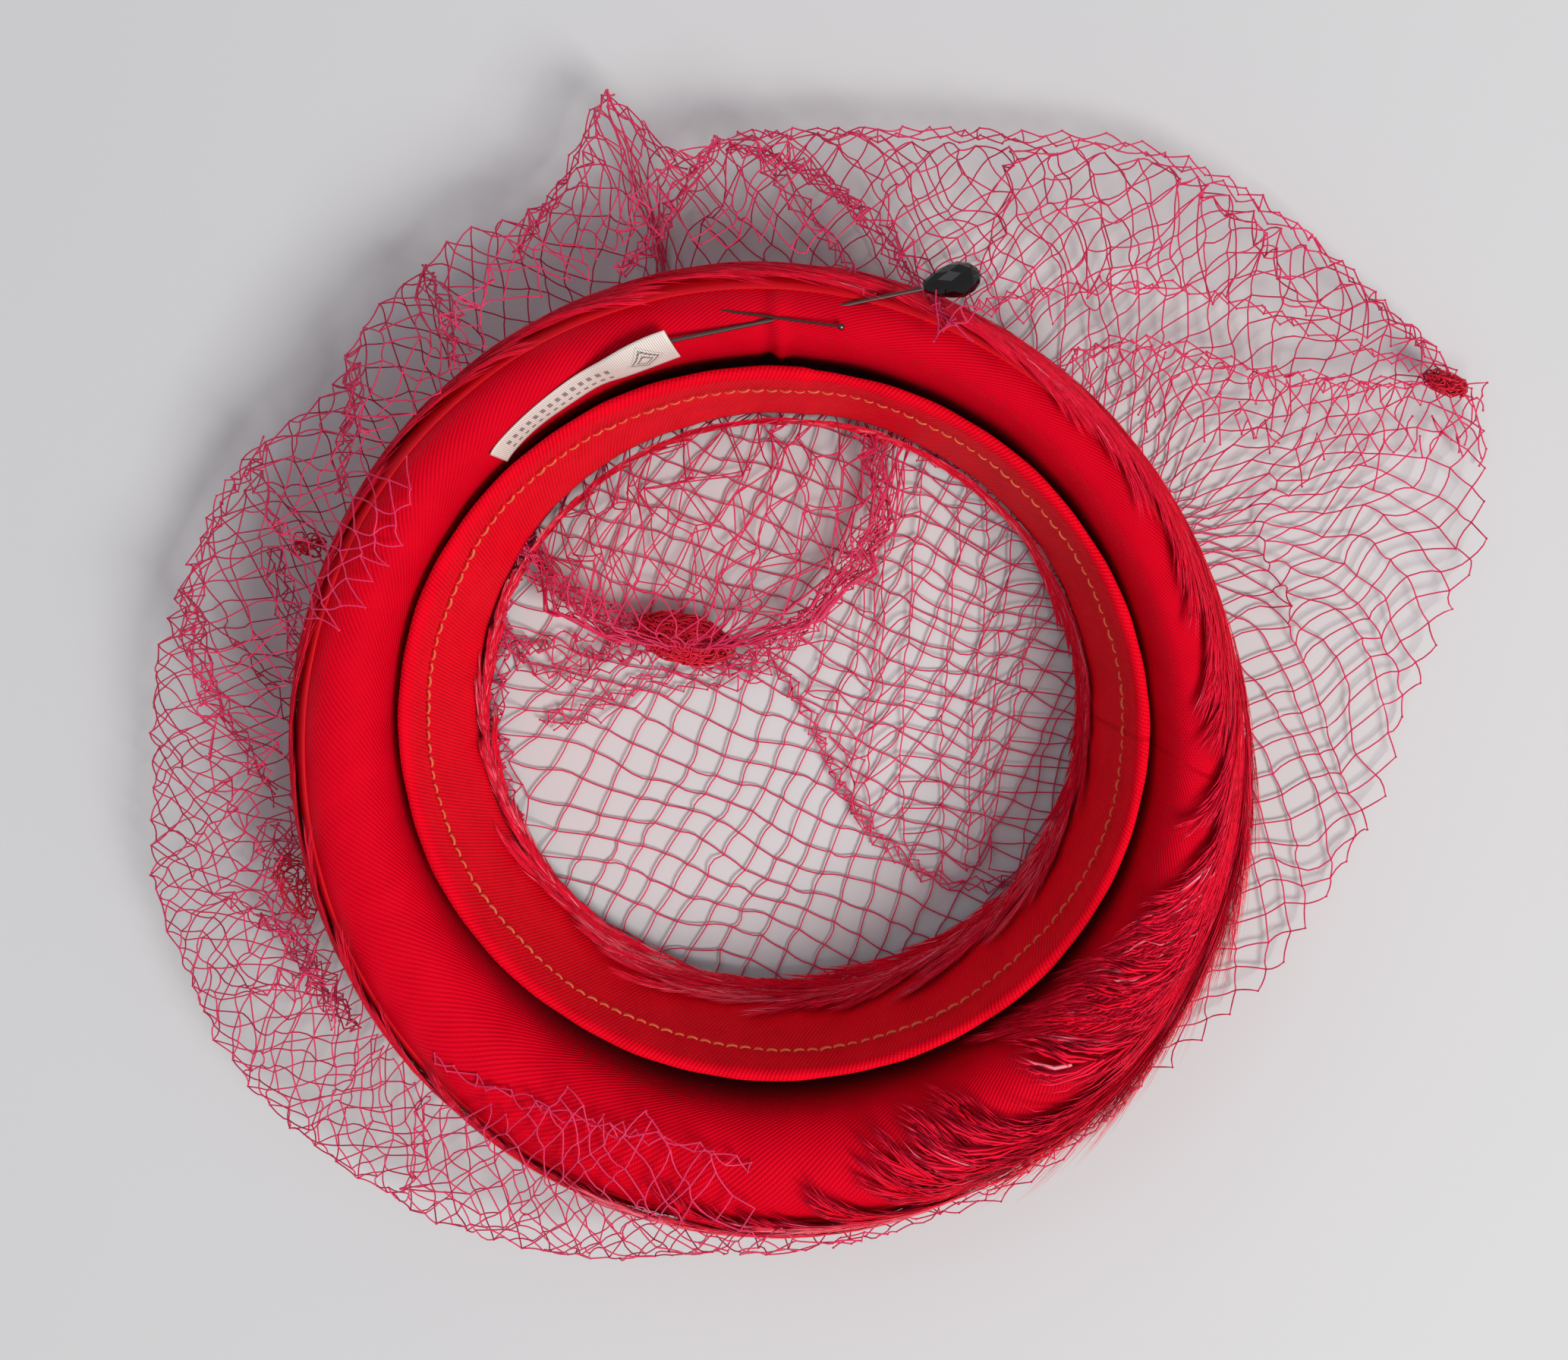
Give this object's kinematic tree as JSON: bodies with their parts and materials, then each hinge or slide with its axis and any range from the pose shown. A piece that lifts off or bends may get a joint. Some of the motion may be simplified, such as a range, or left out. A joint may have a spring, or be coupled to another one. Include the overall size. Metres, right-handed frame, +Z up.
{
  "type": "feathered ring hat with net veil",
  "caption": "Open-crown ring hat covered in red feathers, with a twill-lined brim, stitched bandeau, diamond net veil and hat pin.",
  "frame": {"origin": "middle of the spread veil's outline, on the table that the crown lies on", "axes": "+Z up out of the head opening, +X along the longer side of the spread veil, +Y towards the hat pin's side"},
  "size_m": [0.3248, 0.2824, 0.0543],
  "materials": {
    "buckram": "stiff open weave",
    "twill": "matte ribbed twill",
    "wire": "satin",
    "stitch": "thread",
    "label": "woven ribbon",
    "feather": "soft barbs",
    "net": "fine thread",
    "steel": "polished",
    "bead": "faceted black glass"
  },
  "bodies": {
    "hat": {"buckram_shell": "buckram", "brim_lining": "twill", "rim_wire": "wire", "crown_wire": "wire", "bandeau_cover": "twill", "bandeau_core": "buckram", "bandeau_topstitch": "stitch", "label": "label", "outer_feathers_01": "feather", "outer_feathers_02": "feather", "outer_feathers_03": "feather", "outer_feathers_04": "feather", "outer_feathers_05": "feather", "outer_feathers_06": "feather", "outer_feathers_07": "feather", "outer_feathers_08": "feather", "outer_feathers_09": "feather", "outer_feathers_10": "feather", "outer_feathers_11": "feather", "outer_feathers_12": "feather", "outer_feathers_13": "feather", "outer_feathers_14": "feather", "outer_feathers_15": "feather", "outer_feathers_16": "feather", "crown_feathers_01": "feather", "crown_feathers_02": "feather", "crown_feathers_03": "feather", "crown_feathers_04": "feather", "crown_feathers_05": "feather", "crown_feathers_06": "feather", "crown_feathers_07": "feather", "crown_feathers_08": "feather", "crown_net": "net", "centre_knot": "net", "veil_panel_01": "net", "veil_panel_02": "net", "veil_panel_03": "net", "veil_panel_04": "net", "veil_panel_05": "net", "veil_panel_06": "net", "veil_panel_07": "net", "veil_panel_08": "net", "veil_panel_09": "net", "veil_panel_10": "net", "veil_tie_right": "net", "veil_tie_upper_left": "net", "veil_tie_lower_left": "net"},
    "hat_pin": {"hat_pin_shaft": "steel", "hat_pin_bead": "bead"},
    "straight_pin": {"straight_pin_shaft": "steel", "straight_pin_head": "steel"}
  },
  "joints": [
    {"name": "hat_pin_slide", "type": "slide", "parent": "hat", "child": "hat_pin", "axis": [0.9767, 0.2, -0.0783], "range_m": [0, 0.085]},
    {"name": "straight_pin_slide", "type": "slide", "parent": "hat", "child": "straight_pin", "axis": [0.9879, -0.1345, 0.0769], "range_m": [0, 0.032]}
  ]
}
